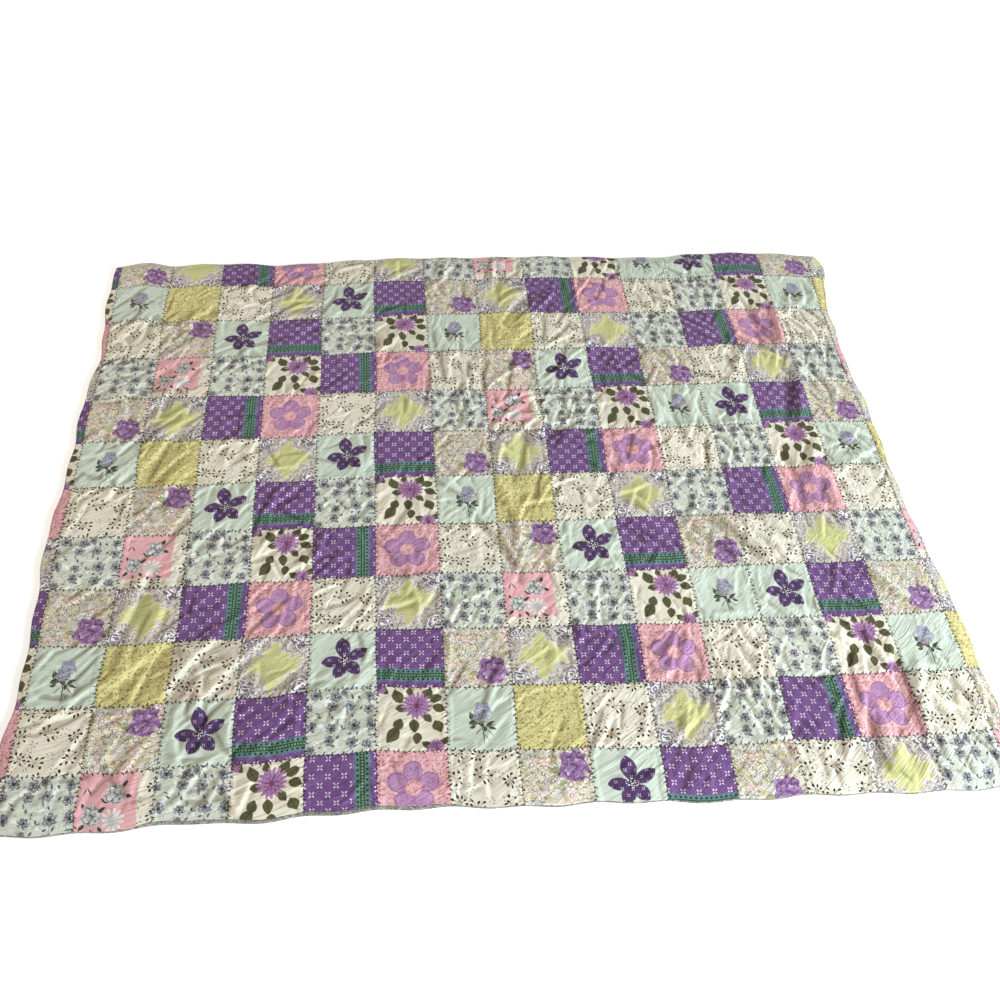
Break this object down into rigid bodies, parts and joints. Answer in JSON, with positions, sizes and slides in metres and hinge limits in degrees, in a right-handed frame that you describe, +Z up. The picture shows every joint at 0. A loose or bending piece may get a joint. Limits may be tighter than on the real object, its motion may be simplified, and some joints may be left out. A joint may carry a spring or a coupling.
{
  "type": "patchwork comforter",
  "caption": "Thin filled patchwork comforter laid out flat, with puffed patches, soft folds and puckers, a wavy outline and a narrow rolled rim of backing cloth. It rests on its flat underside.",
  "frame": {"origin": "middle of the underside, on the surface that the comforter lies on", "axes": "+X along the long side, towards the right in the picture; +Y along the short side, away from the camera; +Z up"},
  "size_m": [2.1922, 1.769, 0.0231],
  "materials": {
    "printed_patchwork": "printed cotton in square floral patches, matt, softly creased",
    "backing_cloth": "speckled grey-green cotton, matt"
  },
  "bodies": {
    "root": {"comforter": "printed_patchwork", "backing": "backing_cloth"}
  },
  "joints": []
}
